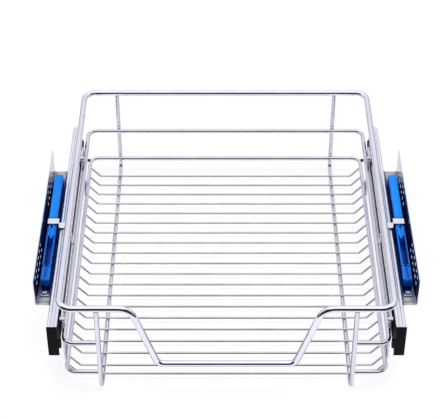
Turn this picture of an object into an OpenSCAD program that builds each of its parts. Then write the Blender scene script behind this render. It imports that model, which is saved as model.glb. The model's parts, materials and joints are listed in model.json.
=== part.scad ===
// Pull-out cabinet basket: a chromed wire basket on two side-mounted, three-section
// ball-bearing slides, each with a soft-close damper and a bracket for the cabinet's side.
// Millimetres. X is the width, +Z is up and the basket pulls out towards -Y.
// The origin is at the middle of the footprint, at the bottom of the runners.

/* [Overall] */
// Inside width of the cabinet, which the two brackets fill
cabinet_w = 464; // [430:1:600]
// Outside depth of the top rim
basket_d = 443; // [436:1:500]
// Height from the bottom of the runners to the top of the rim
basket_h = 138; // [130:1:180]

/* [Basket wires] */
// Diameter of the top rim's wire
rim_wire_d = 8; // [6:0.5:9]
// Diameter of the wire of the two rails and the two runners
rail_wire_d = 6; // [5:0.5:7]
// Diameter of the floor wires
floor_wire_d = 3; // [2:0.5:4]
// How far the rim's wire stands outside the rails' wires, centre to centre
rim_offset = 2; // [0:0.5:2.5]
// Bend radius of the rim's corners, at the wire's centre
rim_corner_r = 16; // [12:1:30]
// Bend radius of the rails' corners, at the wire's centre
rail_corner_r = 12; // [8:1:25]
// Height of the middle rail's centre
middle_rail_z = 72.5; // [72:0.1:73]
// Height of the lower rail's centre
lower_rail_z = 23.7; // [20:0.1:30]
// Depth of the dip in the front of the rim
dip_depth = 90; // [60:1:95]
// Width of the dip at its top, between bend points
dip_top_w = 224; // [200:1:260]
// Width of the dip at its bottom, between bend points
dip_bottom_w = 164; // [120:1:180]
// Bend radius at the top of the dip
dip_top_r = 20; // [10:1:25]
// Bend radius at the bottom of the dip
dip_bottom_r = 10; // [8:1:20]
// Distance from the side rails' centres in to the runners' centres
runner_inset = 42; // [36:1:54]
// Bend radius of the runners' feet, at the wire's centre
foot_bend_r = 10; // [8:1:14]
// Distance from one floor wire to the next
floor_pitch = 20.84; // [18:0.1:30]
// Distance from the rear rail's centre to the first floor wire
floor_rear_gap = 21; // [18:0.5:30]
// Distance from the front rail's centre to the last floor wire
floor_front_gap = 13.3; // [12:0.1:15]
// Distance from the side rail's centre in to the floor wires' bends
floor_bend_inset = 14; // [10:1:25]
// Bend radius of the floor wires, at the wire's centre
floor_bend_r = 5; // [3:0.5:8]
// How far welded wires sink into each other
weld = 0.25; // [0.1:0.05:0.4]

/* [Hanger plates] */
// Thickness of the plates that join the basket to the slides
plate_t = 2; // [1.5:0.25:3]
// Length of a plate along the basket
plate_len = 26; // [24:1:34]
// Height of the raised seat round each screw of a plate
plate_boss_h = 1.75; // [1.5:0.25:3]
// Distance from the front of the slides to the front plates' centres
plate_front = 34.2; // [32:0.1:60]
// Distance from the rear of the slides to the rear plates' centres
plate_rear = 49.3; // [48:0.1:60]
// Distance of a plate's screws above and below the slides' centre
plate_screw_rise = 8; // [8:0.25:8.5]
// Diameter of the screws through the plates and the activators
screw_d = 4; // [3:0.5:4]

/* [Slides] */
// Length of the outer member
slide_len = 400; // [398:1:440]
// Thickness of the closed slide, from the basket's side to the cabinet's side
slide_t = 12.7; // [12.7:0.1:14]
// Height of the slides' centre
slide_z = 72; // [71.5:0.1:73]
// Sheet thickness of the three members
member_t = 1.2; // [1:0.1:1.3]
// Diameter of the balls
ball_d = 4.76; // [4.5:0.02:5]
// Gap between a ball and each of its races
ball_play = 0.07; // [0.03:0.01:0.1]
// Distance of the outer balls' rows above and below the slide's centre
outer_row = 19.15; // [19:0.05:22]
// Distance from one ball to the next in a row
ball_pitch = 16; // [10:1:20]
// Sheet thickness of the ball cages
cage_t = 0.6; // [0.4:0.1:0.6]
// Length of the ball cages
cage_len = 170; // [120:1:180]
// Gap between the rear end of the closed inner and middle members and the slide's rear end
buffer_t = 7; // [5:1:10]
// Distance from the rear of the slides to the release levers' pivots
lever_place = 22.3; // [22:0.1:26]
// Thickness of the front end cap's plate
cap_t = 1.8; // [1.2:0.1:2.5]
// Distance from the rim's outer front face back to the end caps
cap_setback = 12; // [11:0.5:18]

/* [Brackets] */
// Width of the bracket, from the slide's outer face to the cabinet's side
bracket_w = 19.3; // [19:0.1:30]
// Sheet thickness of the bracket
bracket_t = 1.2; // [1:0.1:2]
// Length of the bracket
bracket_len = 261; // [255:1:270]
// Distance from the front of the slide back to the bracket
bracket_front = 49.2; // [46:0.1:53]
// Height of the bracket's shelf above the slide's centre
shelf_rise = 12; // [10:0.5:14]
// Height of the bracket's upright flange, from the shelf's underside
flange_h = 38; // [34:1:50]
// Depth of the bracket's lower flange below the shelf's underside
lower_flange_h = 26; // [22:1:30]
// Diameter of the fixing holes
fix_hole_d = 5; // [4:0.5:6]
// Pitch of the fixing holes in a row
fix_pitch = 12; // [10:0.5:13]
// Distance between the first hole of the front group and the last hole of the rear group
fix_span = 224; // [220:1:232]

/* [Soft-close dampers] */
// Width of the damper housing
damper_w = 11; // [11:0.5:13]
// Gap between the slide and the damper housing
damper_gap = 3.1; // [3:0.1:3.5]
// Height of the closed rear part of the housing
damper_h = 16.8; // [16:0.2:19]
// Length of the closed rear part of the housing
damper_rear_len = 88; // [86:1:94]
// Length of the nose
nose_len = 24; // [20:1:28]
// Wall thickness of the housing
damper_wall = 1.8; // [1.5:0.1:2]
// Length of the catch
catch_len = 33; // [30:1:36]
// Travel of the catch
catch_travel = 50; // [40:1:52]
// Distance from the front of the slides to the activator's finger
finger_place = 184.2; // [178:0.1:188]
// Width of the activator's finger
finger_w = 2.4; // [2:0.1:3]
// Gap on each side of the finger where it passes through a groove
finger_gap = 0.5; // [0.3:0.1:0.8]
// Width of the activator arm, along the slide
activator_len = 10; // [8:1:10]
// Sheet thickness of the activator arm
activator_t = 1.2; // [1:0.1:1.2]

/* [Hidden] */

// Facets of wires and of small round parts
wire_fn = 40;
bend_fn = 96;
ball_fn = 64;
small_fn = 40;
// Overrun of a cutter past the face it cuts
over = 1;
// Hairline between a straight stretch of wire and its bend, and the ring that joins them
hairline = 0.02;
joint_t = 0.2;
// Gap between faces of one body that lie side by side
seam = 0.1;
// Running gap between faces of pieces that slide past each other
play = 0.2;

// Places across the width, from the cabinet's side in to the basket
bracket_x = cabinet_w / 2;
slide_out_x = bracket_x - bracket_w;
slide_in_x = slide_out_x - slide_t;
plate_x = slide_in_x - plate_boss_h - plate_t;
rail_x = plate_x + weld - rail_wire_d / 2;
rim_x = rail_x + rim_offset;
runner_x = rail_x - runner_inset;

// Places along the depth
rim_y = basket_d / 2 - rim_wire_d / 2;
rail_y = rim_y - rail_wire_d + weld;
cap_front_y = -basket_d / 2 + cap_setback;
slide_front_y = cap_front_y + cap_t;
slide_rear_y = slide_front_y + slide_len;
plate_front_y = slide_front_y + plate_front;
plate_rear_y = slide_rear_y - plate_rear;
slide_mid_y = (slide_front_y + slide_rear_y) / 2;

// Heights
rim_z = basket_h - rim_wire_d / 2;
runner_z = rail_wire_d / 2;
floor_z = rail_wire_d + floor_wire_d / 2 - weld;
shelf_z = slide_z + shelf_rise;
shelf_top_z = shelf_z + bracket_t;

// Slide section: s runs from the basket's side to the cabinet's side, w up from the centre
race_r = ball_d / 2 + ball_play;
mid_flange_t = member_t + 0.7;
race_depth = 0.4;
row_gap = 2 * (race_r - race_depth) + mid_flange_t;
inner_row = outer_row - row_gap;
ball_s = slide_t / 2;
arc_half_angle = 62;
outer_wall_w = outer_row + race_r * cos(arc_half_angle);
inner_wall_w = inner_row - race_r * cos(arc_half_angle);
mid_flange_w = outer_row - race_r + race_depth;
cage_web_t = 0.5;
outer_cage_s = slide_t - member_t - play - cage_web_t - 0.1;
mid_web_s = outer_cage_s - play - member_t - 0.1;
inner_cage_s = mid_web_s - play - cage_web_t;
inner_lip_s = inner_cage_s - play;
outer_top_w = outer_row + race_r + member_t;
member_front_gap = 0.5;
corner_r = 2;
cage_hole_r = ball_d / 2 + 0.12;
cage_row_len = cage_len - ball_pitch;
spare_slot_r = 2.3;
spare_slot_len = 9;
// Places of the spare slots and windows, from the ends of the outer member
outer_slots = [22, 54];
mid_windows = [60, 160];
inner_slots = [26, 120, 240];
balls_per_row = floor(cage_row_len / ball_pitch) + 1;

// Screws, rivets and their holes
screw_head_r = 3.5;
screw_head_h = 2.1;
rivet_head_r = 4;
rivet_head_h = 1.1;
hole_clear = 0.05;

// Damper stack on the bracket's shelf
damper_x = slide_out_x + damper_gap;
damper_mid_x = damper_x + damper_w / 2;
damper_plate_t = 1;
damper_base_z = shelf_top_z + damper_plate_t;
damper_top_z = damper_base_z + damper_h;
finger_y = slide_front_y + finger_place;
damper_join_y = finger_y + 7.5;
damper_rear_y = damper_join_y + damper_rear_len;
nose_wall = 2;
catch_spare = 3;
catch_rear_y = damper_join_y - 1;
catch_front_y = catch_rear_y - catch_len;
slot_front_y = catch_front_y - catch_travel - catch_spare;
nose_y = slot_front_y - nose_wall;
damper_front_y = nose_y - nose_len;
tray_top_z = damper_top_z - 2.2;
nose_top_z = tray_top_z - 1;
catch_top_z = damper_top_z - 1.2;
arm_z = damper_top_z - 0.6;
finger_low_z = tray_top_z - 2.6;
groove_z = finger_low_z - finger_gap;
groove_w = finger_w + 2 * finger_gap;
catch_w = damper_w - 2 * damper_wall - 2 * play;
catch_base_z = damper_base_z + damper_wall + play;
catch_ear = 2.5;
rod_z = damper_base_z + 4.6;
rod_d = 2.4;
rod_len = catch_travel + 26;
cylinder_d = 7;
piston_d = 4.6;
cylinder_y = damper_join_y + 4;
cylinder_len = rod_len + 2;
cylinder_lid = 2.5;
spring_z = damper_top_z - 4.2;
spring_d = 4;
spring_wire_d = 0.8;
cover_split_z = damper_top_z - 3.6;

// Activator arm
arm_slide_z = slide_z + outer_top_w + 0.6;
arm_foot_z = slide_z - 10;

// Release lever on the inner member
lever_y = slide_rear_y - lever_place;
lever_t = 1.6;
lever_gap = 0.4;
lever_pin_d = 3;
tooth_y = lever_y + 9;
tooth_z = slide_z + 6;
tooth_r = 1.6;

/* ---- helpers ---- */

function unit(v) = v / norm(v);
function turn(a, b) = acos(unit(a) * unit(b));

// The piece as drawn for the right-hand side, or mirrored for the left
module on_side(side) {
    if (side == "right") children();
    if (side == "left") mirror([1, 0, 0]) children();
}

// Straight wire from a to b
module rod(a, b, d) {
    v = b - a;
    translate(a)
        rotate([0, acos(v[2] / norm(v)), atan2(v[1], v[0])])
            cylinder(d = d, h = norm(v), $fn = wire_fn);
}

// Bend of a wire at p, on its way from a to b
module elbow(a, p, b, r, d) {
    u = unit(p - a);
    angle = turn(p - a, b - p);
    n = unit(unit(b - p) - cos(angle) * u);
    c = p - u * r * tan(angle / 2) + n * r;
    k = cross(-n, u);
    multmatrix([
        [-n[0], u[0], k[0], c[0]],
        [-n[1], u[1], k[1], c[1]],
        [-n[2], u[2], k[2], c[2]]
    ])
        rotate_extrude(angle = angle, $fn = bend_fn)
            translate([r, 0]) circle(d = d, $fn = wire_fn);
}

// Length that a bend takes off the straight wire on each side of its corner
function trim(a, p, b, r) = r * tan(turn(p - a, b - p) / 2) + hairline;

// Ring a hair wider than the wire, which joins a straight stretch and a bend at any angle
module joint(p, u, d) {
    rod(p - u * joint_t / 2, p + u * joint_t / 2, d + 2 * hairline);
}

// Wire along the points of an open path, with one bend radius for each inner point
module bent_wire(path, radii, d) {
    last = len(path) - 1;
    for (i = [0 : last - 1]) {
        u = unit(path[i + 1] - path[i]);
        start = i == 0 ? 0 : trim(path[i - 1], path[i], path[i + 1], radii[i - 1]);
        end = i == last - 1 ? 0 : trim(path[i], path[i + 1], path[i + 2], radii[i]);
        rod(path[i] + u * start, path[i + 1] - u * end, d);
    }
    for (i = [1 : last - 1])
        bend(path[i - 1], path[i], path[i + 1], radii[i - 1], d);
}

// Elbow with a joint at each end
module bend(a, p, b, r, d) {
    cut = trim(a, p, b, r);
    elbow(a, p, b, r, d);
    joint(p - unit(p - a) * cut, unit(p - a), d);
    joint(p + unit(b - p) * cut, unit(b - p), d);
}

// Wire along the points of a closed path, with one bend radius for each point
module closed_wire(path, radii, d) {
    n = len(path);
    for (i = [0 : n - 1]) {
        a = path[(i + n - 1) % n];
        p = path[i];
        b = path[(i + 1) % n];
        c = path[(i + 2) % n];
        u = unit(b - p);
        rod(p + u * trim(a, p, b, radii[i]), b - u * trim(p, b, c, radii[(i + 1) % n]), d);
        bend(a, p, b, radii[i], d);
    }
}

// Extrudes a slide section (s, w) along the slide, from y_front to y_rear, on the right side
module along_slide(y_front, y_rear) {
    translate([slide_in_x, y_rear, slide_z])
        rotate([90, 0, 0]) linear_extrude(height = y_rear - y_front) children();
}

// Cylinder along +X from x to x + h
module x_cylinder(x, y, z, r, h) {
    translate([x, y, z]) rotate([0, 90, 0]) cylinder(r = r, h = h, $fn = small_fn);
}

// Slot along Y through a sheet that faces X, with its length measured end to end
module x_slot(x, y, z, r, h, length) {
    half = length / 2 - r;
    x_cylinder(x, y - half, z, r, h);
    x_cylinder(x, y + half, z, r, h);
    translate([x, y - half, z - r]) cube([h, 2 * half, 2 * r]);
}

// Block with its corners along Y rounded, from lowest corner a to highest corner b
module soft_block(a, b, r) {
    size = b - a;
    translate([a[0], b[1], a[2]])
        rotate([90, 0, 0]) linear_extrude(height = size[1]) {
            translate([r, 0]) square([size[0] - 2 * r, size[2]]);
            translate([0, r]) square([size[0], size[2] - 2 * r]);
            for (x = [r, size[0] - r], z = [r, size[2] - r])
                translate([x, z]) circle(r = r, $fn = small_fn);
        }
}

/* ---- basket wires ---- */

module top_rim() {
    path = [
        [-rim_x, rim_y, rim_z],
        [rim_x, rim_y, rim_z],
        [rim_x, -rim_y, rim_z],
        [dip_top_w / 2, -rim_y, rim_z],
        [dip_bottom_w / 2, -rim_y, rim_z - dip_depth],
        [-dip_bottom_w / 2, -rim_y, rim_z - dip_depth],
        [-dip_top_w / 2, -rim_y, rim_z],
        [-rim_x, -rim_y, rim_z]
    ];
    radii = [rim_corner_r, rim_corner_r, rim_corner_r, dip_top_r,
             dip_bottom_r, dip_bottom_r, dip_top_r, rim_corner_r];
    color("gainsboro") closed_wire(path, radii, rim_wire_d);
}

// Loop that runs round the back and sides and stops behind the front uprights
module rail(z) {
    path = [
        [-runner_x, -rail_y, z],
        [-rail_x, -rail_y, z],
        [-rail_x, rail_y, z],
        [rail_x, rail_y, z],
        [rail_x, -rail_y, z],
        [runner_x, -rail_y, z]
    ];
    color("gainsboro") bent_wire(path, [for (i = [1 : 4]) rail_corner_r], rail_wire_d);
}

module middle_rail() rail(middle_rail_z);
module lower_rail() rail(lower_rail_z);

// Wire that comes down from the rim, runs under the floor and goes up to the rim again
module runner(x) {
    top_z = rim_z - rim_wire_d / 2 + weld;
    path = [
        [x, -rim_y, top_z],
        [x, -rim_y, runner_z],
        [x, rim_y, runner_z],
        [x, rim_y, top_z]
    ];
    color("gainsboro") bent_wire(path, [foot_bend_r, foot_bend_r], rail_wire_d);
}

module runner_left() runner(-runner_x);
module runner_right() runner(runner_x);

module floor_wire(y) {
    bend_x = rail_x - floor_bend_inset;
    // The ends stop where they meet the skin of the lower rail
    toward = unit([floor_bend_inset, lower_rail_z - floor_z]);
    reach = rail_wire_d / 2 - weld;
    end_x = rail_x - toward[0] * reach;
    end_z = lower_rail_z - toward[1] * reach;
    path = [[-end_x, y, end_z], [-bend_x, y, floor_z], [bend_x, y, floor_z], [end_x, y, end_z]];
    bent_wire(path, [floor_bend_r, floor_bend_r], floor_wire_d);
}

module floor_wires() {
    first_y = rail_y - floor_rear_gap;
    last_y = -rail_y + floor_front_gap;
    color("gainsboro") {
        for (y = [first_y : -floor_pitch : last_y + floor_pitch / 2]) floor_wire(y);
        floor_wire(last_y);
    }
}

/* ---- hanger plates ---- */

// Screw places of a plate, as offsets from its centre along Y and from the slide's centre
plate_screw_step = 6;
plate_screws = [[-plate_screw_step, plate_screw_rise], [plate_screw_step, -plate_screw_rise]];

module hanger_plate(y) {
    low_z = lower_rail_z - rail_wire_d / 2 - 1;
    high_z = slide_z + 14;
    boss_r = 4.5;
    side_step = 4;
    notch_r = 4;
    notch_z = lower_rail_z + 9;
    slot_r = 3;
    slot_len = 12;
    slot_z = (lower_rail_z + middle_rail_z) / 2 + 4;
    color("silver") difference() {
        union() {
            translate([plate_x, y - plate_len / 2, low_z])
                cube([plate_t, plate_len, high_z - low_z]);
            for (p = plate_screws)
                x_cylinder(plate_x + plate_t, y + p[0], slide_z + p[1], boss_r, plate_boss_h);
        }
        for (p = plate_screws)
            x_cylinder(plate_x - over, y + p[0], slide_z + p[1], screw_d / 2 + hole_clear,
                       plate_t + plate_boss_h + 2 * over);
        // Hook notch in the lower edge
        x_cylinder(plate_x - over, y + side_step, notch_z, notch_r, plate_t + 2 * over);
        translate([plate_x - over, y + side_step, notch_z - notch_r])
            cube([plate_t + 2 * over, plate_len, 2 * notch_r]);
        // Weight-saving slot
        x_slot(plate_x - over, y - side_step, slot_z, slot_r, plate_t + 2 * over, slot_len);
    }
}

module hanger_plate_front_right() on_side("right") hanger_plate(plate_front_y);
module hanger_plate_front_left() on_side("left") hanger_plate(plate_front_y);
module hanger_plate_rear_right() on_side("right") hanger_plate(plate_rear_y);
module hanger_plate_rear_left() on_side("left") hanger_plate(plate_rear_y);

// Pan-head screw along +X with its head's seat at x
module pan_screw(x, y, z, length) {
    recess = 4;
    recess_w = 0.8;
    x_cylinder(x, y, z, screw_d / 2, length);
    difference() {
        translate([x, y, z]) rotate([0, -90, 0])
            cylinder(r1 = screw_head_r, r2 = screw_head_r * 0.8, h = screw_head_h, $fn = small_fn);
        // Cross recess
        translate([x - screw_head_h - over, y - recess / 2, z - recess_w / 2])
            cube([over + screw_head_h / 2, recess, recess_w]);
        translate([x - screw_head_h - over, y - recess_w / 2, z - recess / 2])
            cube([over + screw_head_h / 2, recess_w, recess]);
    }
}

module hanger_screws() {
    length = plate_t + plate_boss_h + member_t + 1.8;
    color("silver")
        for (side = ["left", "right"], y = [plate_front_y, plate_rear_y], p = plate_screws)
            on_side(side) pan_screw(plate_x, y + p[0], slide_z + p[1], length);
}

/* ---- slides ---- */

// Discs round the two balls of a section, above and below its centre
module ball_discs(row, r) {
    for (w = [-row, row]) translate([ball_s, w]) circle(r = r, $fn = bend_fn);
}

// Rectangle of a section from s0 to s1, to the height w on each side of the centre
module channel(s0, s1, w) {
    translate([s0, -w]) square([s1 - s0, 2 * w]);
}

// C-shaped outer member, open towards the basket, with a race bulging out of each flange
module outer_section() {
    lip_s = 0.8;
    wall_w = outer_wall_w + member_t;
    difference() {
        union() {
            channel(lip_s, slide_t - corner_r, wall_w);
            channel(slide_t - corner_r - over, slide_t, wall_w - corner_r);
            for (w = [corner_r - wall_w, wall_w - corner_r])
                translate([slide_t - corner_r, w]) circle(r = corner_r, $fn = small_fn);
            ball_discs(outer_row, race_r + member_t);
        }
        channel(lip_s - over, slide_t - member_t, outer_wall_w);
        ball_discs(outer_row, race_r);
    }
}

// C-shaped middle member, whose flanges have a race on each face
module mid_section() {
    lip_s = 1.6;
    difference() {
        channel(lip_s, mid_web_s + member_t, mid_flange_w);
        channel(lip_s - over, mid_web_s, mid_flange_w - mid_flange_t);
        ball_discs(outer_row, race_r);
        ball_discs(inner_row, race_r);
    }
}

// C-shaped inner member, open towards the cabinet, whose flanges curl in round the balls
module inner_section() {
    difference() {
        channel(0, inner_lip_s, inner_wall_w);
        ball_discs(inner_row, race_r);
        difference() {
            channel(member_t, inner_lip_s + over, inner_wall_w - member_t);
            ball_discs(inner_row, race_r + member_t);
        }
    }
}

module outer_member() {
    slot_ys = [for (end = [-1, 1], place = outer_slots)
        slide_mid_y + end * (slide_len / 2 - place)];
    web_x = slide_out_x - member_t - over;
    web_h = member_t + 2 * over;
    color("lightsteelblue") difference() {
        along_slide(slide_front_y + member_front_gap, slide_rear_y) outer_section();
        for (y = rivet_ys) x_cylinder(web_x, y, slide_z, screw_d / 2 + hole_clear, web_h);
        // Spare fixing slots in the web
        for (y = slot_ys) x_slot(web_x, y, slide_z, spare_slot_r, web_h, spare_slot_len);
    }
}

module mid_member() {
    window_r = 6;
    window_ys = [for (end = [-1, 1], place = mid_windows)
        slide_mid_y + end * (slide_len / 2 - place)];
    web_x = slide_in_x + mid_web_s - over;
    color("lightsteelblue") difference() {
        along_slide(slide_front_y + member_front_gap, slide_rear_y - buffer_t) mid_section();
        // Round windows that give a screwdriver access to the outer member's slots
        for (y = window_ys) x_cylinder(web_x, y, slide_z, window_r, member_t + 2 * over);
    }
}

module inner_member() {
    // Room for the swing of the lever's tooth
    window_len = 2 * tooth_r + 4.8;
    window_h = 2 * tooth_r + 4.4;
    web_h = member_t + 2 * over;
    web_x = slide_in_x - over;
    color("lightsteelblue") difference() {
        along_slide(slide_front_y, slide_rear_y - buffer_t) inner_section();
        for (y = [plate_front_y, plate_rear_y], p = plate_screws)
            x_cylinder(web_x, y + p[0], slide_z + p[1], screw_d / 2 + hole_clear, web_h);
        for (z = activator_screw_zs)
            x_cylinder(web_x, finger_y, z, screw_d / 2 + hole_clear, web_h);
        // Spare fixing slots
        for (place = inner_slots)
            x_slot(web_x, slide_front_y + place, slide_z, spare_slot_r, web_h, spare_slot_len);
        // Pivot hole and window of the release lever
        x_cylinder(web_x, lever_y, slide_z, lever_pin_d / 2 + hole_clear, web_h);
        translate([web_x, tooth_y - window_len / 2, tooth_z - window_h / 2])
            cube([web_h, window_len, window_h]);
    }
}

module outer_member_right() on_side("right") outer_member();
module outer_member_left() on_side("left") outer_member();
module mid_member_right() on_side("right") mid_member();
module mid_member_left() on_side("left") mid_member();
module inner_member_right() on_side("right") inner_member();
module inner_member_left() on_side("left") inner_member();

// Places of the balls along a cage
ball_ys = [for (i = [0 : balls_per_row - 1])
    slide_mid_y + (i - (balls_per_row - 1) / 2) * ball_pitch];

// U-shaped strip with a row of ball holes in each flange; web_s is its web's place
module cage(row, web_s) {
    lip_s = ball_s - cage_hole_r - 1.4;
    color("darkgray") difference() {
        along_slide(slide_mid_y - cage_len / 2, slide_mid_y + cage_len / 2) difference() {
            channel(lip_s, web_s + cage_web_t, row + cage_t / 2);
            channel(lip_s - over, web_s, row - cage_t / 2);
        }
        for (y = ball_ys, w = [-row, row])
            translate([slide_in_x + ball_s, y, slide_z + w - cage_t])
                cylinder(r = cage_hole_r, h = 2 * cage_t, $fn = small_fn);
    }
}

module balls(row) {
    color("white")
        for (y = ball_ys, w = [-row, row])
            translate([slide_in_x + ball_s, y, slide_z + w]) sphere(d = ball_d, $fn = ball_fn);
}

module outer_cage_right() on_side("right") cage(outer_row, outer_cage_s);
module outer_cage_left() on_side("left") cage(outer_row, outer_cage_s);
module inner_cage_right() on_side("right") cage(inner_row, inner_cage_s);
module inner_cage_left() on_side("left") cage(inner_row, inner_cage_s);
module outer_balls_right() on_side("right") balls(outer_row);
module outer_balls_left() on_side("left") balls(outer_row);
module inner_balls_right() on_side("right") balls(inner_row);
module inner_balls_left() on_side("left") balls(inner_row);

/* ---- end caps, buffers and release levers ---- */

module end_cap() {
    half_h = outer_top_w + 0.5;
    front_r = 1.5;
    tongue_w = inner_row - race_r - member_t - seam;
    tongue_s = member_t + seam;
    tongue_len = 18;
    rib_pitch = 4;
    groove = 0.6;
    plain = 2;
    lug_gap = 0.3;
    lug_w = 3.2;
    lug_len = 6;
    lug_h = 10;
    color("dimgray") {
        difference() {
            translate([slide_in_x, cap_front_y, slide_z - half_h])
                cube([slide_t, cap_t, 2 * half_h]);
            // Cross-ribbed front face: upright and level grooves in the moulding
            for (i = [1 : 2])
                translate([slide_in_x + i * slide_t / 3 - groove / 2,
                           cap_front_y - over, slide_z - half_h + plain])
                    cube([groove, over + groove, 2 * half_h - 2 * plain]);
            for (w = [-half_h + plain + 1 : rib_pitch : half_h - plain - 1])
                translate([slide_in_x + 1, cap_front_y - over, slide_z + w])
                    cube([slide_t - 2, over + groove / 2, groove]);
            // Eased top and bottom front edges
            for (up = [-1, 1])
                translate([slide_in_x - over, cap_front_y, slide_z + up * half_h])
                    rotate([45, 0, 0]) translate([0, -front_r / 2, -front_r / 2])
                        cube([slide_t + 2 * over, front_r, front_r]);
        }
        // Tongue that plugs into the inner member
        translate([slide_in_x + tongue_s, slide_front_y, slide_z - tongue_w])
            cube([inner_lip_s - tongue_s, tongue_len, 2 * tongue_w]);
        // Lug on the basket's side, which reaches back beside the inner member's web
        translate([slide_in_x - lug_w, cap_front_y, slide_z - lug_h])
            cube([lug_w + over, cap_t, lug_h]);
        translate([slide_in_x - lug_w, cap_front_y, slide_z - lug_h])
            cube([lug_w - lug_gap, lug_len, lug_h]);
    }
}

module end_cap_right() on_side("right") end_cap();
module end_cap_left() on_side("left") end_cap();

// Moulded stop in the rear end of the outer member
module rear_buffer() {
    w = outer_wall_w - 3;
    wall = 1.5;
    pocket_h = 6;
    pocket_s = 4;
    front_y = slide_rear_y - buffer_t + play;
    length = slide_rear_y - front_y;
    color("dimgray") difference() {
        translate([slide_in_x + wall, front_y, slide_z - w])
            cube([slide_t - member_t - wall, length, 2 * w]);
        for (z = [-w / 2, w / 2])
            translate([slide_in_x + wall - over, front_y + wall, slide_z + z - pocket_h / 2])
                cube([pocket_s + over, length - 2 * wall, pocket_h]);
    }
}

module rear_buffer_right() on_side("right") rear_buffer();
module rear_buffer_left() on_side("left") rear_buffer();

// Curved plastic lever that unlatches the basket from the middle member. Its upper arm holds
// a tooth that reaches through the rail's window, and its lower arm ends in a thumb tab.
module release_lever() {
    x = slide_in_x - lever_gap - lever_t;
    hub_r = 3.2;
    arm_w = 2.4;
    arm_r = 9;
    tab_y = lever_y - 7;
    tab_z = slide_z - 14;
    tab_reach = 8.6;
    tab_len = 5;
    reach = lever_t + lever_gap + member_t;
    color("dimgray") {
        x_cylinder(x, lever_y, slide_z, hub_r, lever_t);
        // Pin in the inner member's web
        x_cylinder(x, lever_y, slide_z, lever_pin_d / 2, reach + 0.6);
        // Tooth through the window
        x_cylinder(x, tooth_y, tooth_z, tooth_r, reach + 2);
        lever_arm(x, [lever_y, slide_z], [tooth_y, tooth_z], arm_r, arm_w);
        lever_arm(x, [tab_y, tab_z], [lever_y, slide_z], arm_r, arm_w);
        // Thumb tab that curls in under the middle rail
        x_cylinder(x, tab_y, tab_z, arm_w / 2, lever_t);
        translate([x - tab_reach, tab_y - tab_len / 2, tab_z - arm_w / 2])
            cube([tab_reach + lever_t, tab_len, arm_w / 2]);
        translate([x - tab_reach, tab_y + tab_len / 2, tab_z - arm_w / 2 + arm_w / 4])
            rotate([90, 0, 0]) cylinder(r = arm_w / 4, h = tab_len, $fn = small_fn);
    }
}

// Arm of the lever along an arc of radius r from a to b, both as (y, z)
module lever_arm(x, a, b, r, width) {
    half = norm(b - a) / 2;
    along = unit(b - a);
    c = (a + b) / 2 + [-along[1], along[0]] * sqrt(r * r - half * half);
    start = atan2(a[1] - c[1], a[0] - c[0]);
    sweep = 2 * asin(half / r);
    translate([x, c[0], c[1]]) multmatrix([[0, 0, 1, 0], [1, 0, 0, 0], [0, 1, 0, 0]])
        rotate([0, 0, start]) linear_extrude(height = lever_t) intersection() {
            difference() {
                circle(r = r + width / 2, $fn = bend_fn);
                circle(r = r - width / 2, $fn = bend_fn);
            }
            polygon([[0, 0], [2 * r, 0], [2 * r * cos(sweep), 2 * r * sin(sweep)]]);
        }
}

module release_lever_right() on_side("right") release_lever();
module release_lever_left() on_side("left") release_lever();

/* ---- activators ---- */

activator_screw_rise = 6;
activator_screw_zs = [slide_z - activator_screw_rise, slide_z + activator_screw_rise];

// Bent arm on the inner member that reaches over the slide to the damper's catch
module activator() {
    x = slide_in_x - activator_t;
    rise_x = damper_x - activator_t - 1.4;
    tip_x = damper_x + damper_w + 0.4;
    finger_len = 6;
    color("ghostwhite") difference() {
        translate([0, finger_y + activator_len / 2, 0]) rotate([90, 0, 0]) {
            linear_extrude(height = activator_len) {
                translate([x, arm_foot_z]) square([activator_t, arm_slide_z - arm_foot_z]);
                translate([x, arm_slide_z]) square([rise_x + activator_t - x, activator_t]);
                translate([rise_x, arm_slide_z])
                    square([activator_t, arm_z + activator_t - arm_slide_z]);
                translate([rise_x, arm_z]) square([tip_x - rise_x, activator_t]);
            }
            // Finger that drops into the catch
            translate([damper_mid_x - finger_w / 2, finger_low_z,
                       (activator_len - finger_len) / 2])
                cube([finger_w, arm_z - finger_low_z + activator_t / 2, finger_len]);
        }
        for (z = activator_screw_zs)
            x_cylinder(x - over, finger_y, z, screw_d / 2 + hole_clear, activator_t + 2 * over);
    }
}

module activator_right() on_side("right") activator();
module activator_left() on_side("left") activator();

module activator_screws() {
    color("silver")
        for (side = ["left", "right"], z = activator_screw_zs)
            on_side(side) flat_screw(slide_in_x - activator_t, finger_y, z);
}

// Thin-headed rivet screw that fits between the arm and the rail
module flat_screw(x, y, z) {
    head_h = 0.8;
    x_cylinder(x, y, z, screw_d / 2, activator_t + member_t + 1.5);
    x_cylinder(x - head_h, y, z, screw_head_r - 0.5, head_h);
}

/* ---- brackets ---- */

bracket_y = slide_front_y + bracket_front;
rivet_ys = [for (share = [0.14, 0.5, 0.86]) bracket_y + share * bracket_len];
holes_per_group = 6;
upper_row_z = shelf_z + flange_h - 10;
lower_row_z = upper_row_z - 14;
fix_first_y = bracket_y + (bracket_len - fix_span) / 2;
upper_ys = [for (i = [0 : holes_per_group - 1], last = [0, 1])
    last == 0 ? fix_first_y + i * fix_pitch : fix_first_y + fix_span - i * fix_pitch];

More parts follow.
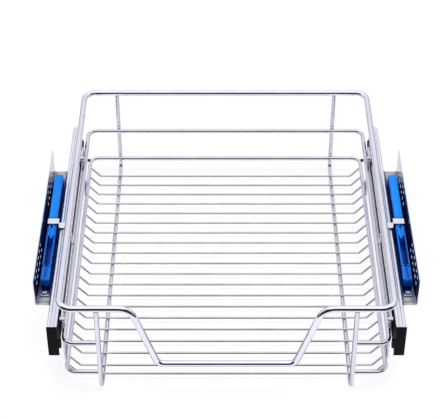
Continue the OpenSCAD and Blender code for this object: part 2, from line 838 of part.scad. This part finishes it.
// Z-shaped sheet: an upright flange at the cabinet's side, a shelf and a lower flange at the slide
module bracket_section() {
    t = bracket_t;
    bend_r = 1.5;
    // Upright flange
    translate([bracket_x - t, shelf_z + t + bend_r]) square([t, flange_h - t - bend_r]);
    corner(bracket_x - t - bend_r, shelf_z + t + bend_r, bend_r, t, [1, -1]);
    // Shelf
    translate([slide_out_x + t + bend_r, shelf_z])
        square([bracket_w - 2 * t - 2 * bend_r, t]);
    // Lower flange
    corner(slide_out_x + t + bend_r, shelf_z - bend_r, bend_r, t, [-1, 1]);
    translate([slide_out_x, shelf_z - lower_flange_h]) square([t, lower_flange_h - bend_r]);
}

// Quarter ring of a sheet bend centred on (x, z); quadrant gives the signs of the quarter
module corner(x, z, inner_r, t, quadrant) {
    translate([x, z]) into_quadrant(quadrant) intersection() {
        difference() {
            circle(r = inner_r + t, $fn = small_fn);
            circle(r = inner_r, $fn = small_fn);
        }
        square(inner_r + t);
    }
}

// Mirrors a first-quadrant shape into the quadrant with these signs
module into_quadrant(quadrant) {
    mirror([quadrant[0] < 0 ? 1 : 0, 0]) mirror([0, quadrant[1] < 0 ? 1 : 0]) children();
}

module bracket() {
    hole_r = fix_hole_d / 2;
    sheet_x = bracket_x - bracket_t - over;
    sheet_h = bracket_t + 2 * over;
    slot_len = fix_hole_d + 2;
    bead_r = 0.8;
    bead_inset = 4;
    color("gainsboro") difference() {
        union() {
            translate([0, bracket_y + bracket_len, 0])
                rotate([90, 0, 0]) linear_extrude(height = bracket_len) bracket_section();
            // Pressed bead across the front of the shelf
            x_cylinder(slide_out_x + bead_inset, bracket_y + 5, shelf_top_z, bead_r,
                       bracket_w - 2 * bead_inset);
        }
        for (y = upper_ys) x_cylinder(sheet_x, y, upper_row_z, hole_r, sheet_h);
        for (y = upper_ys)
            x_slot(sheet_x, y + (y < slide_mid_y ? 1 : -1) * fix_pitch / 2, lower_row_z,
                   hole_r, sheet_h, slot_len);
        for (y = rivet_ys)
            x_cylinder(slide_out_x - over, y, slide_z, screw_d / 2 + hole_clear, sheet_h);
        for (y = damper_screw_ys)
            translate([damper_mid_x, y, shelf_z - over])
                cylinder(r = screw_d / 2 + hole_clear, h = sheet_h, $fn = small_fn);
    }
}

module bracket_right() on_side("right") bracket();
module bracket_left() on_side("left") bracket();

// Rivets that join the lower flange to the outer member, flush inside the slide
module bracket_rivets() {
    start_x = slide_out_x - member_t;
    color("silver")
        for (side = ["left", "right"], y = rivet_ys) on_side(side) {
            x_cylinder(start_x, y, slide_z, screw_d / 2, member_t + bracket_t);
            x_cylinder(slide_out_x + bracket_t, y, slide_z, rivet_head_r, rivet_head_h);
        }
}

/* ---- soft-close dampers ---- */

damper_screw_ys = [damper_front_y - 10, damper_rear_y + 9];

// Steel carrier that the housing clips to
module damper_plate() {
    end = 6;
    y0 = damper_screw_ys[0] - end;
    y1 = damper_screw_ys[1] + end;
    color("gainsboro") difference() {
        translate([damper_x + 0.5, y0, shelf_top_z]) cube([damper_w - 1, y1 - y0, damper_plate_t]);
        for (y = damper_screw_ys)
            translate([damper_mid_x, y, shelf_top_z - over])
                cylinder(r = screw_d / 2 + hole_clear, h = damper_plate_t + 2 * over, $fn = small_fn);
    }
}

module damper_plate_right() on_side("right") damper_plate();
module damper_plate_left() on_side("left") damper_plate();

module damper_screws() {
    length = bracket_t + damper_plate_t + 1.5;
    color("silver")
        for (side = ["left", "right"], y = damper_screw_ys) on_side(side)
            translate([damper_mid_x, y, damper_base_z]) rotate([0, 90, 0])
                pan_screw(0, 0, 0, length);
}

// Body of the closed part, open tray for the catch, and nose
module damper_housing() {
    nose_r = 3;
    slot_floor_z = damper_base_z + damper_wall;
    color("royalblue") difference() {
        union() {
            // Closed rear part, up to the cover's joint
            translate([damper_x, damper_join_y, damper_base_z])
                cube([damper_w, damper_rear_len, cover_split_z - damper_base_z]);
            // Open tray
            translate([damper_x, nose_y, damper_base_z])
                cube([damper_w, damper_join_y - nose_y, tray_top_z - damper_base_z]);
            // Nose with its top front edge rounded
            translate([damper_x, damper_front_y, damper_base_z])
                cube([damper_w, nose_len, nose_top_z - nose_r - damper_base_z]);
            translate([damper_x, damper_front_y + nose_r, damper_base_z])
                cube([damper_w, nose_len - nose_r, nose_top_z - damper_base_z]);
            x_cylinder(damper_x, damper_front_y + nose_r, nose_top_z - nose_r, nose_r, damper_w);
        }
        // Slot that the catch slides in
        translate([damper_x + damper_wall, slot_front_y, slot_floor_z])
            cube([damper_w - 2 * damper_wall, damper_join_y - slot_front_y, damper_h]);
        // Groove for the activator's finger
        translate([damper_mid_x - groove_w / 2, damper_front_y - over, groove_z])
            cube([groove_w, slot_front_y - damper_front_y + 2 * over, damper_h]);
        damper_bores();
    }
}

// Bores of the cylinder, the rod and the spring in the closed part
module damper_bores() {
    y_cylinder(damper_mid_x, cylinder_y - play, rod_z, cylinder_d / 2 + hole_clear,
               cylinder_len + 2 * play);
    y_cylinder(damper_mid_x, damper_join_y - over, rod_z, rod_d / 2 + play,
               cylinder_y - damper_join_y + 2 * over);
    y_cylinder(damper_mid_x, damper_join_y - over, spring_z, spring_d / 2 + play,
               damper_rear_len - damper_wall + over);
}

// Cylinder along +Y from y to y + h
module y_cylinder(x, y, z, r, h) {
    translate([x, y + h, z]) rotate([90, 0, 0]) cylinder(r = r, h = h, $fn = small_fn);
}

// Lid of the closed part, with rounded long edges
module damper_cover() {
    edge_r = 1.2;
    color("dodgerblue") difference() {
        intersection() {
            soft_block([damper_x, damper_join_y, cover_split_z - 3],
                       [damper_x + damper_w, damper_rear_y, damper_top_z], edge_r);
            translate([damper_x - over, damper_join_y - over, cover_split_z])
                cube([damper_w + 2 * over, damper_rear_len + 2 * over, damper_h]);
        }
        damper_bores();
    }
}

// Sealed oil cylinder
module damper_cylinder() {
    color("silver") difference() {
        y_cylinder(damper_mid_x, cylinder_y, rod_z, cylinder_d / 2, cylinder_len);
        y_cylinder(damper_mid_x, cylinder_y + cylinder_lid, rod_z, piston_d / 2 + hole_clear,
                   cylinder_len - 2 * cylinder_lid);
        y_cylinder(damper_mid_x, cylinder_y - over, rod_z, rod_d / 2 + hole_clear,
                   cylinder_lid + 2 * over);
    }
}

// Rod with its piston, fixed to the catch
module piston_rod() {
    piston_t = 5;
    color("silver") {
        y_cylinder(damper_mid_x, catch_rear_y, rod_z, rod_d / 2, rod_len);
        y_cylinder(damper_mid_x, catch_rear_y + rod_len - piston_t, rod_z, piston_d / 2, piston_t);
    }
}

// Sliding catch: a grooved front ear, a saddle for the finger and a rear ear
module catch_block() {
    x0 = damper_mid_x - catch_w / 2;
    saddle_len = 10.5;
    saddle_drop = 1;
    saddle_y = catch_rear_y - catch_ear - saddle_len;
    color("dodgerblue") difference() {
        translate([x0, catch_front_y, catch_base_z])
            cube([catch_w, catch_len, catch_top_z - catch_base_z]);
        translate([x0 - over, saddle_y, groove_z - saddle_drop])
            cube([catch_w + 2 * over, saddle_len, damper_h]);
        translate([damper_mid_x - groove_w / 2, catch_front_y - over, groove_z])
            cube([groove_w, catch_len + 2 * over, damper_h]);
    }
}

// Tension spring between the catch and the rear of the housing, as a stack of turns
module return_spring() {
    y0 = catch_rear_y;
    length = damper_rear_y - damper_wall - y0;
    turns = floor(length / spring_wire_d);
    color("silver") translate([damper_mid_x, y0 + turns * spring_wire_d, spring_z])
        rotate([90, 0, 0]) rotate_extrude($fn = small_fn) {
            translate([spring_d / 2 - spring_wire_d * 0.75, 0])
                square([spring_wire_d / 2, turns * spring_wire_d]);
            for (i = [0 : 4 : turns - 1])
                translate([spring_d / 2 - spring_wire_d / 2, (i + 0.5) * spring_wire_d])
                    circle(d = spring_wire_d, $fn = 24);
        }
}

module damper_housing_right() on_side("right") damper_housing();
module damper_housing_left() on_side("left") damper_housing();
module damper_cover_right() on_side("right") damper_cover();
module damper_cover_left() on_side("left") damper_cover();
module damper_cylinder_right() on_side("right") damper_cylinder();
module damper_cylinder_left() on_side("left") damper_cylinder();
module piston_rod_right() on_side("right") piston_rod();
module piston_rod_left() on_side("left") piston_rod();
module catch_right() on_side("right") catch_block();
module catch_left() on_side("left") catch_block();
module return_spring_right() on_side("right") return_spring();
module return_spring_left() on_side("left") return_spring();

top_rim();
middle_rail();
lower_rail();
runner_left();
runner_right();
floor_wires();
hanger_plate_front_left();
hanger_plate_front_right();
hanger_plate_rear_left();
hanger_plate_rear_right();
hanger_screws();
inner_member_left();
inner_member_right();
mid_member_left();
mid_member_right();
outer_member_left();
outer_member_right();
outer_cage_left();
outer_cage_right();
inner_cage_left();
inner_cage_right();
outer_balls_left();
outer_balls_right();
inner_balls_left();
inner_balls_right();
end_cap_left();
end_cap_right();
rear_buffer_left();
rear_buffer_right();
release_lever_left();
release_lever_right();
activator_left();
activator_right();
activator_screws();
bracket_left();
bracket_right();
bracket_rivets();
damper_plate_left();
damper_plate_right();
damper_screws();
damper_housing_left();
damper_housing_right();
damper_cover_left();
damper_cover_right();
damper_cylinder_left();
damper_cylinder_right();
piston_rod_left();
piston_rod_right();
catch_left();
catch_right();
return_spring_left();
return_spring_right();
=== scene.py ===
import json
import math
import bpy
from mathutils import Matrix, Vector

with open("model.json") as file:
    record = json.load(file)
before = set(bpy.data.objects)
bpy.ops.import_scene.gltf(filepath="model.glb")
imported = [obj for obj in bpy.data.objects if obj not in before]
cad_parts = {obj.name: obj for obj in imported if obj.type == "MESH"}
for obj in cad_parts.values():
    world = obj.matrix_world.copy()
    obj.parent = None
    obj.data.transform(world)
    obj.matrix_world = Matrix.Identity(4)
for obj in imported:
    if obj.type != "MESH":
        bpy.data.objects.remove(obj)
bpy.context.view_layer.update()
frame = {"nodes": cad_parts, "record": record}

nodes = frame["nodes"]
scene = bpy.context.scene
scene.view_settings.view_transform = "Standard"


# ---- camera: straight from the front, looking down ----

sensor_width = 36.0
# Focal length in pixels of a picture this wide
focal_px = 1403.0
picture_width = 440.0
camera_place = (-0.0077, -1.3927, 1.2561)
degrees_down = 39.6
near_clip = 0.05

cam_data = bpy.data.cameras.new("camera")
cam_data.sensor_width = sensor_width
cam_data.lens = focal_px / picture_width * sensor_width
cam_data.clip_start = near_clip
cam = bpy.data.objects.new("camera", cam_data)
scene.collection.objects.link(cam)
cam.location = camera_place
cam.rotation_euler = (math.radians(90.0 - degrees_down), 0.0, 0.0)
scene.camera = cam


# ---- node helpers ----

class Shader:
    """A material's or the world's node tree, with short ways to add and join nodes."""

    def __init__(self, tree):
        self.tree = tree
        tree.nodes.clear()

    def add(self, kind, inputs=None, **attributes):
        node = self.tree.nodes.new(kind)
        for key, value in attributes.items():
            setattr(node, key, value)
        for key, value in (inputs or {}).items():
            self.put(node, key, value)
        return node

    def put(self, node, key, value):
        if isinstance(value, bpy.types.NodeSocket):
            self.tree.links.new(value, node.inputs[key])
        else:
            node.inputs[key].default_value = value

    def math(self, operation, a, b=0.0):
        return self.add("ShaderNodeMath", {0: a, 1: b}, operation=operation).outputs[0]

    def smooth_range(self, value, low, high, to_low=0.0, to_high=1.0):
        node = self.add(
            "ShaderNodeMapRange",
            {"Value": value, "From Min": low, "From Max": high,
             "To Min": to_low, "To Max": to_high},
            interpolation_type="SMOOTHSTEP",
        )
        return node.outputs[0]

    def mix(self, factor, a, b):
        node = self.add("ShaderNodeMix", {"Factor": factor}, data_type="RGBA")
        self.put(node, 6, a)
        self.put(node, 7, b)
        return node.outputs[2]


def rgb(r, g, b):
    return (r, g, b, 1.0)


def new_material(name):
    material = bpy.data.materials.new(name)
    material.use_nodes = True
    return material, Shader(material.node_tree)


def object_point(shader, scale=(1.0, 1.0, 1.0)):
    point = shader.add("ShaderNodeTexCoord").outputs["Object"]
    return shader.add("ShaderNodeMapping", {"Vector": point, "Scale": scale}).outputs[0]


def noise(shader, point, scale, detail):
    node = shader.add(
        "ShaderNodeTexNoise",
        {"Vector": point, "Scale": scale, "Detail": detail, "Roughness": noise_roughness},
    )
    return node.outputs[0]


def relief(shader, height, strength, distance):
    bump = shader.add(
        "ShaderNodeBump", {"Strength": strength, "Distance": distance, "Height": height}
    )
    return bump.outputs[0]


def painted_gap_shade(shader, color, reach, tight, open_air, tone):
    """Painted shade: darkens the colour in narrow gaps between pieces, where little light gets in.
    """
    occlusion = shader.add(
        "ShaderNodeAmbientOcclusion", {"Distance": reach}, samples=occlusion_rays
    )
    clear = shader.smooth_range(occlusion.outputs["AO"], tight, open_air)
    return shader.mix(clear, rgb(*tone), color)


# ---- materials ----

noise_roughness = 0.55
# The part of a noise's range that is stretched over the whole of a tone or a gloss
noise_span = (0.3, 0.7)
# Scale of a metal's clouds against that of its streaks
cloud_share = 0.12
relief_depth = 0.0002
matt_roughness = 0.9
# Rays for each look-up of how hidden a point is
occlusion_rays = 8
# Painted shade in narrow gaps: reach of the occlusion, its tight and open ends, and the painted
# shade colour in the gap
# The bracket's gap colour is navy: painted shade with a painted reflection of the blue damper
# beside it
bracket_gap_shade = (0.014, 0.42, 0.86, (0.016, 0.032, 0.18))
slide_gap_shade = (0.010, 0.22, 0.58, (0.015, 0.018, 0.04))
tray_gap_shade = (0.012, 0.35, 0.80, (0.001, 0.020, 0.24))
# Painted shadow line on the inner rail's web: its height on the part and its width
web_line_z = 0.068
web_line_h = 0.009
# Where the web turns dark behind the end cap, a painted shade, and over what length
web_dark_y = -0.165
web_dark_blend = 0.02
# Colour of the painted shadow on the inner rail's web
web_shadow_tone = (0.006, 0.007, 0.008)
# Crystals and grain of the zinc, in cells per metre
spangle_scale = 420.0
zinc_grain_scale = 1500.0
zinc_relief_depth = 0.0001
# Between the two faces of the bracket's upright flange, where the holes are cut
hole_wall_from = 0.2309
hole_wall_to = 0.2319
# Flow marks in moulded plastic, drawn out along the part's depth
flow_stretch = (1.0, 0.35, 1.0)
flow_scale = 60.0
# Streaks drawn out along the slides
along_slide = (1.0, 0.03, 1.0)


def metal(name, light, dark, rough_low, rough_high, scale, stretch=(1, 1, 1), bump=0.1,
          gap=None, shadow_band=None):
    """Plated metal: cloudy tone, finer streaks or grain in the gloss, and a slight unevenness;
    where asked, painted shade in narrow gaps and a painted shadow band.
    """
    material, shader = new_material(name)
    broad = noise(shader, object_point(shader), scale * cloud_share, 2.0)
    fine = noise(shader, object_point(shader, stretch), scale, 4.0)
    color = shader.mix(shader.smooth_range(broad, *noise_span), rgb(*dark), rgb(*light))
    # Painted shade in narrow gaps
    if gap:
        color = painted_gap_shade(shader, color, *gap)
    gloss = shader.smooth_range(fine, *noise_span, rough_low, rough_high)
    metallic = 1.0
    # Painted shadow: dark, matt colour where the band lies
    if shadow_band:
        painted_shadow_mask = shadow_band(shader)
        color = shader.mix(painted_shadow_mask, color, rgb(*web_shadow_tone))
        gloss = shader.math("MAXIMUM", gloss, shader.math("MULTIPLY", painted_shadow_mask, matt_roughness))
        metallic = shader.math("SUBTRACT", 1.0, painted_shadow_mask)
    bsdf = shader.add(
        "ShaderNodeBsdfPrincipled",
        {"Base Color": color, "Roughness": gloss, "Metallic": metallic,
         "Normal": relief(shader, fine, bump, relief_depth)},
    )
    shader.add("ShaderNodeOutputMaterial", {"Surface": bsdf.outputs[0]})
    return material


def web_shadow(shader):
    """Painted shadow: a matt dark line along the inner rail's web, and a painted dark stretch
    behind the end cap.
    """
    xyz = shader.add("ShaderNodeSeparateXYZ", {0: object_point(shader)}).outputs
    off = shader.math("ABSOLUTE", shader.math("SUBTRACT", xyz[2], web_line_z))
    line = shader.smooth_range(off, 0.5 * web_line_h, 0.8 * web_line_h, 1.0, 0.0)
    front = shader.smooth_range(xyz[1], web_dark_y, web_dark_y + web_dark_blend, 1.0, 0.0)
    return shader.math("MAXIMUM", line, front)


def spangled_zinc(name):
    """Zinc plate with fine, faint crystal patches, painted shade in the gap beside the damper, and
    hole walls painted bright as a painted highlight.
    """
    material, shader = new_material(name)
    point = object_point(shader)
    cells = shader.add("ShaderNodeTexVoronoi", {"Vector": point, "Scale": spangle_scale})
    grain = noise(shader, point, zinc_grain_scale, 3.0)
    patch = shader.add("ShaderNodeSeparateColor", {0: cells.outputs["Color"]}).outputs[0]
    color = shader.mix(patch, rgb(0.50, 0.53, 0.51), rgb(0.64, 0.67, 0.65))
    # Painted shade in the narrow gap beside the damper, navy as a painted reflection of it
    color = painted_gap_shade(shader, color, *bracket_gap_shade)
    side = shader.math(
        "ABSOLUTE", shader.add("ShaderNodeSeparateXYZ", {0: point}).outputs[0]
    )
    # The hole walls are painted near white: a painted highlight for the light seen through the
    # holes
    painted_hole_light = shader.math(
        "MULTIPLY",
        shader.math("GREATER_THAN", side, hole_wall_from),
        shader.math("LESS_THAN", side, hole_wall_to),
    )
    color = shader.mix(painted_hole_light, color, rgb(0.97, 0.97, 0.97))
    bsdf = shader.add(
        "ShaderNodeBsdfPrincipled",
        {"Base Color": color, "Roughness": shader.smooth_range(patch, 0.0, 1.0, 0.10, 0.18),
         "Metallic": 1.0, "Normal": relief(shader, grain, 0.03, zinc_relief_depth)},
    )
    shader.add("ShaderNodeOutputMaterial", {"Surface": bsdf.outputs[0]})
    return material


def plastic(name, light, dark, roughness, sheen, grain_scale, bump, gap=None):
    """Moulded plastic: slight flow marks in the tone, fine grain in the skin, a thin gloss, and,
    where asked, painted shade in narrow gaps.
    """
    material, shader = new_material(name)
    flow = noise(shader, object_point(shader, flow_stretch), flow_scale, 2.0)
    grain = noise(shader, object_point(shader), grain_scale, 3.0)
    color = shader.mix(shader.smooth_range(flow, *noise_span), rgb(*dark), rgb(*light))
    # Painted shade in narrow gaps
    if gap:
        color = painted_gap_shade(shader, color, *gap)
    bsdf = shader.add(
        "ShaderNodeBsdfPrincipled",
        {"Base Color": color, "Specular Tint": rgb(sheen, sheen, sheen),
         "Roughness": shader.smooth_range(grain, *noise_span, roughness, roughness + 0.1),
         "Normal": relief(shader, grain, bump, relief_depth)},
    )
    shader.add("ShaderNodeOutputMaterial", {"Surface": bsdf.outputs[0]})
    return material


looks = {
    "rim_chrome": metal("rim_chrome", (0.95, 0.95, 0.98), (0.90, 0.90, 0.95),
                        0.03, 0.07, 240.0, bump=0.03),
    "chrome_wire": metal("chrome_wire", (0.86, 0.86, 0.89), (0.78, 0.78, 0.83),
                         0.04, 0.09, 240.0, bump=0.04),
    # The same chrome as the other wires, painted darker for the floor wires: painted shade
    "floor_chrome": metal("floor_chrome", (0.80, 0.80, 0.76), (0.70, 0.70, 0.67),
                          0.04, 0.08, 240.0, bump=0.04),
    "hanger_steel": metal("hanger_steel", (0.80, 0.80, 0.84), (0.66, 0.66, 0.70),
                          0.10, 0.18, 500.0, bump=0.06),
    "slide_steel": metal("slide_steel", (0.82, 0.84, 0.89), (0.77, 0.79, 0.85),
                         0.42, 0.52, 900.0, along_slide, 0.08, slide_gap_shade),
    "inner_rail_steel": metal("inner_rail_steel", (0.90, 0.90, 1.0), (0.83, 0.83, 0.93),
                              0.18, 0.28, 900.0, along_slide, 0.1, shadow_band=web_shadow),
    "cage_steel": metal("cage_steel", (0.42, 0.42, 0.43), (0.32, 0.32, 0.34),
                        0.3, 0.42, 700.0, along_slide, 0.1),
    "ball_steel": metal("ball_steel", (0.86, 0.86, 0.87), (0.80, 0.80, 0.82),
                        0.04, 0.1, 400.0, bump=0.02),
    "screw_steel": metal("screw_steel", (0.90, 0.90, 0.92), (0.78, 0.78, 0.81),
                         0.10, 0.20, 900.0, bump=0.1),
    "activator_steel": metal("activator_steel", (0.95, 0.95, 0.93), (0.86, 0.87, 0.84),
                             0.12, 0.22, 700.0, bump=0.06),
    "bracket_zinc": spangled_zinc("bracket_zinc"),
    "cap_black": plastic("cap_black", (0.0075, 0.0075, 0.009), (0.004, 0.004, 0.005),
                         0.35, 0.10, 1400.0, 0.2),
    "lever_black": plastic("lever_black", (0.007, 0.007, 0.008), (0.003, 0.003, 0.004),
                           0.30, 0.15, 1200.0, 0.12),
    # The same blue plastic as the cover, painted darker for the shade on the damper's sides, with
    # painted shade in its gaps
    "damper_blue": plastic("damper_blue", (0.009, 0.21, 0.86), (0.007, 0.17, 0.76),
                           0.18, 0.25, 1500.0, 0.06, tray_gap_shade),
    "cover_blue": plastic("cover_blue", (0.010, 0.30, 1.0), (0.008, 0.26, 0.95),
                          0.22, 0.20, 1500.0, 0.06),
}

for part in frame["record"]["subparts"]:
    cad_object = nodes[part["node"]]
    look = looks[part["material_slot"]]
    if cad_object.material_slots:
        cad_object.material_slots[0].material = look
    else:
        cad_object.data.materials.append(look)


# ---- floor ----

floor_half = 6.0
floor_z = -0.0004
# The sheet as metal sees it ends this far in front of a line across it, and nearer at the sides
sheet_line_y = 0.1
sheet_side_factor = 1.3
sheet_end = (0.52, 0.72)
# Painted shadow on the sheet under the basket, seen only in metal: its sides, its front end, and
# where it turns paler
shade_side_x = (0.13, 0.17)
shade_front_y = (-0.26, -0.20)
shade_paler_y = (-0.12, -0.04)


def make_floor():
    corners = [(-1, -1), (1, -1), (1, 1), (-1, 1)]
    mesh = bpy.data.meshes.new("floor")
    mesh.from_pydata(
        [(x * floor_half, y * floor_half, floor_z) for x, y in corners], [], [(0, 1, 2, 3)]
    )
    floor = bpy.data.objects.new("floor", mesh)
    scene.collection.objects.link(floor)
    material, shader = new_material("floor_white")
    path = shader.add("ShaderNodeLightPath").outputs
    seen = shader.math("MAXIMUM", path["Is Camera Ray"], path["Is Transmission Ray"])
    # Bounce light for the object's own shading
    plain = shader.add("ShaderNodeBsdfDiffuse", {"Color": rgb(0.10, 0.10, 0.11)})
    # White sheet with a faint shadow
    shaded = shader.add("ShaderNodeBsdfDiffuse", {"Color": rgb(0.17, 0.17, 0.12)})
    glow = shader.add("ShaderNodeEmission", {"Color": rgb(0.88, 0.88, 0.93), "Strength": 1.0})
    sheet = shader.add("ShaderNodeAddShader", {0: shaded.outputs[0], 1: glow.outputs[0]})
    # Metal sees the sheet, with a painted shadow under the basket that is darkest in front, and
    # the dark room past the sheet's ends at the sides and in front
    place = shader.add("ShaderNodeTexCoord").outputs["Object"]
    xyz = shader.add("ShaderNodeSeparateXYZ", {0: place}).outputs
    forward = shader.math("MINIMUM", shader.math("SUBTRACT", xyz[1], sheet_line_y), 0.0)
    sideways = shader.math("MULTIPLY", xyz[0], sheet_side_factor)
    away = shader.add("ShaderNodeCombineXYZ", {0: sideways, 1: forward})
    away = shader.add("ShaderNodeVectorMath", {0: away.outputs[0]}, operation="LENGTH")
    off_sheet = shader.smooth_range(away.outputs["Value"], *sheet_end)
    under_x = shader.smooth_range(shader.math("ABSOLUTE", xyz[0]), *shade_side_x, 1.0, 0.0)
    under = shader.math("MULTIPLY", shader.smooth_range(xyz[1], *shade_front_y), under_x)
    painted_floor_shadow = shader.mix(
        shader.smooth_range(xyz[1], *shade_paler_y), rgb(0.26, 0.26, 0.29), rgb(0.66, 0.66, 0.72)
    )
    tone = shader.mix(under, rgb(0.84, 0.84, 0.92), painted_floor_shadow)
    tone = shader.mix(off_sheet, tone, rgb(0.02, 0.02, 0.025))
    mirrored = shader.add("ShaderNodeEmission", {"Color": tone, "Strength": 1.0})
    mirrored = shader.add("ShaderNodeAddShader", {0: plain.outputs[0], 1: mirrored.outputs[0]})
    out = shader.add(
        "ShaderNodeMixShader",
        {0: path["Is Glossy Ray"], 1: plain.outputs[0], 2: mirrored.outputs[0]},
    )
    out = shader.add("ShaderNodeMixShader", {0: seen, 1: out.outputs[0], 2: sheet.outputs[0]})
    shader.add("ShaderNodeOutputMaterial", {"Surface": out.outputs[0]})
    mesh.materials.append(material)


make_floor()


# ---- light ----

# Ranges of height, and of depth for dark_front, in a direction of length 1 over which one tone
# turns into another
walls_rise = (0.0, 0.6)
ceiling_from = (0.60, 0.80)
dark_foot = (-0.45, -0.34)
dark_head = (0.72, 0.80)
dark_front = (-0.35, -0.05)
overhead_patch = (0.93, 0.97)
lamp_target = (0, 0, 0.05)


def make_world():
    """White ceiling over pale walls; metal also sees the dark room in front, behind the camera."""
    world = bpy.data.worlds.new("studio")
    scene.world = world
    world.use_nodes = True
    shader = Shader(world.node_tree)
    direction = shader.add("ShaderNodeTexCoord").outputs["Generated"]
    xyz = shader.add("ShaderNodeSeparateXYZ", {0: direction}).outputs
    path = shader.add("ShaderNodeLightPath").outputs
    # What metal mirrors
    walls = shader.mix(
        shader.smooth_range(xyz[2], *walls_rise), rgb(0.58, 0.58, 0.68), rgb(0.80, 0.80, 0.90)
    )
    room = shader.mix(shader.smooth_range(xyz[2], *ceiling_from), walls, rgb(1.02, 1.02, 1.04))
    low = shader.smooth_range(xyz[2], *dark_foot)
    high = shader.smooth_range(xyz[2], *dark_head, 1.0, 0.0)
    front = shader.smooth_range(xyz[1], *dark_front, 1.0, 0.0)
    dark = shader.math("MULTIPLY", shader.math("MULTIPLY", low, high), front)
    room = shader.mix(dark, room, rgb(0.015, 0.015, 0.02))
    # What lights plastic and paint
    overhead = shader.smooth_range(xyz[2], *overhead_patch)
    ambient = shader.mix(overhead, rgb(0.04, 0.04, 0.05), rgb(7.0, 7.0, 7.0))
    color = shader.mix(path["Is Glossy Ray"], ambient, room)
    seen = shader.math("MAXIMUM", path["Is Camera Ray"], path["Is Transmission Ray"])
    color = shader.mix(seen, color, rgb(1.0, 1.0, 1.0))
    background = shader.add("ShaderNodeBackground", {"Color": color, "Strength": 1.0})
    shader.add("ShaderNodeOutputWorld", {"Surface": background.outputs[0]})


def make_lamp(name, place, size, power):
    data = bpy.data.lights.new(name, "AREA")
    data.shape = "DISK"
    data.size = size
    data.energy = power
    lamp = bpy.data.objects.new(name, data)
    lamp.location = place
    aim = Vector(lamp_target) - Vector(place)
    lamp.rotation_euler = aim.to_track_quat("-Z", "Y").to_euler()
    # Metal mirrors the room and not the lamp
    lamp.visible_glossy = False
    scene.collection.objects.link(lamp)


make_world()
make_lamp("key", place=(0.9, -0.1, 1.8), size=0.5, power=8.0)
